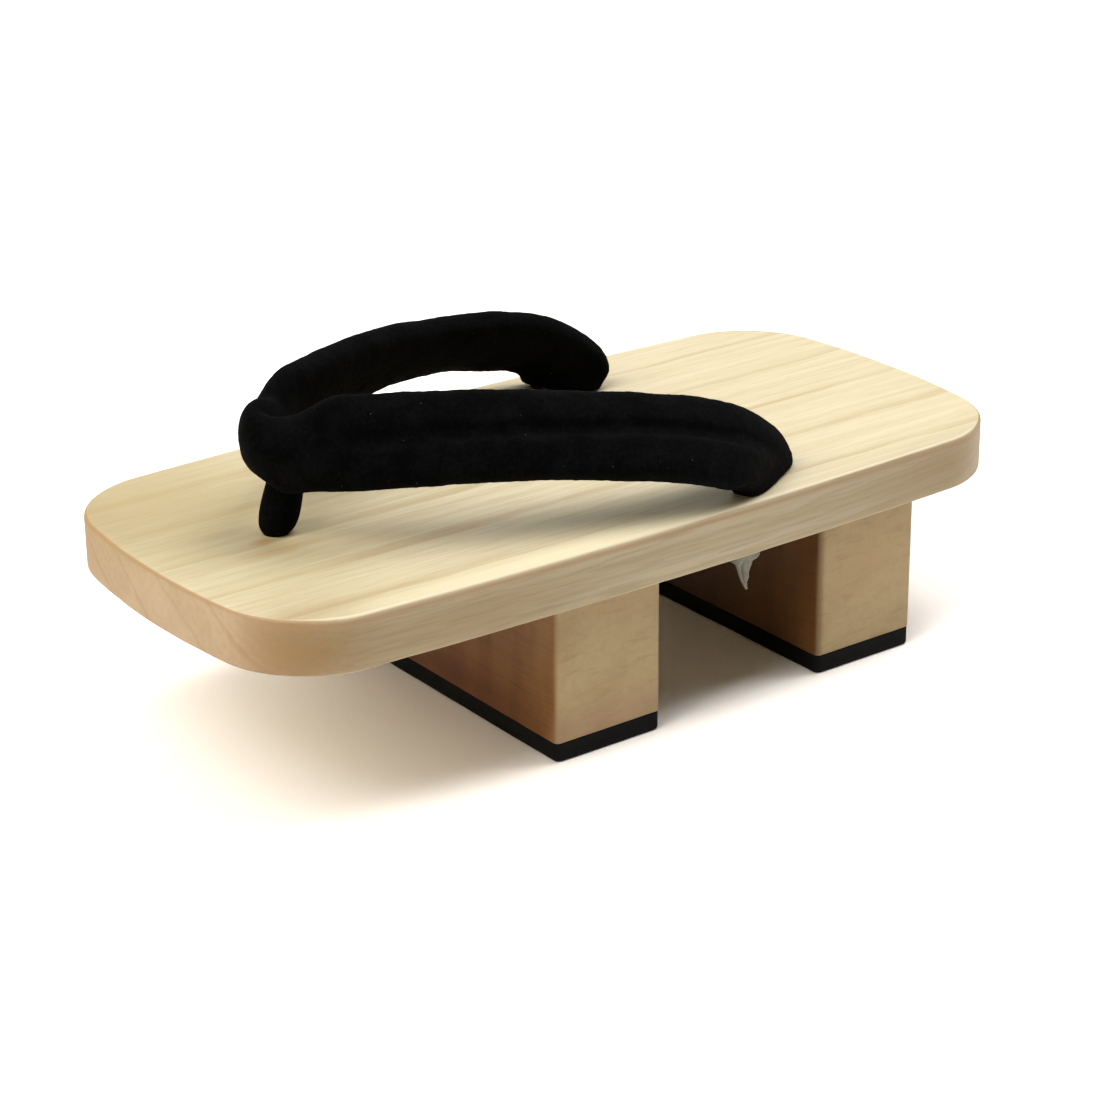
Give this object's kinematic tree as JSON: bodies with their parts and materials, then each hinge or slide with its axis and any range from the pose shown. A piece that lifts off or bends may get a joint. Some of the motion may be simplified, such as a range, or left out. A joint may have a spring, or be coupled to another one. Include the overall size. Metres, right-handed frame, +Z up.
{
  "type": "geta sandal",
  "caption": "Wooden geta sandal: a bowed foot board on wooden teeth with rubber treads, held on by a padded black strap that meets a toe post.",
  "frame": {"origin": "on the floor under the middle of the board, where the treads stand", "axes": "+X towards the toe, +Y to the wearer's left, +Z up"},
  "size_m": [0.24, 0.1156, 0.0922],
  "materials": {
    "board_wood": "pale straw wood, smooth sanded, faint satin sheen, long grain with end grain at toe and heel",
    "tooth_wood": "pale wood, sanded and unpolished, slightly warmer than the board",
    "tread_rubber": "black sheet rubber, matt, cut edges",
    "strap_velvet": "black velvet with a short nap over soft padding",
    "knot_cord": "undyed twisted cotton cord, knotted, with a short loose tail"
  },
  "bodies": {
    "root": {"board": "board_wood", "tooth_front": "tooth_wood", "tooth_rear": "tooth_wood", "tread_front": "tread_rubber", "tread_rear": "tread_rubber", "strap": "strap_velvet", "toe_post": "strap_velvet", "knot_front": "knot_cord", "knot_rear_left": "knot_cord", "knot_rear_right": "knot_cord"}
  },
  "joints": []
}
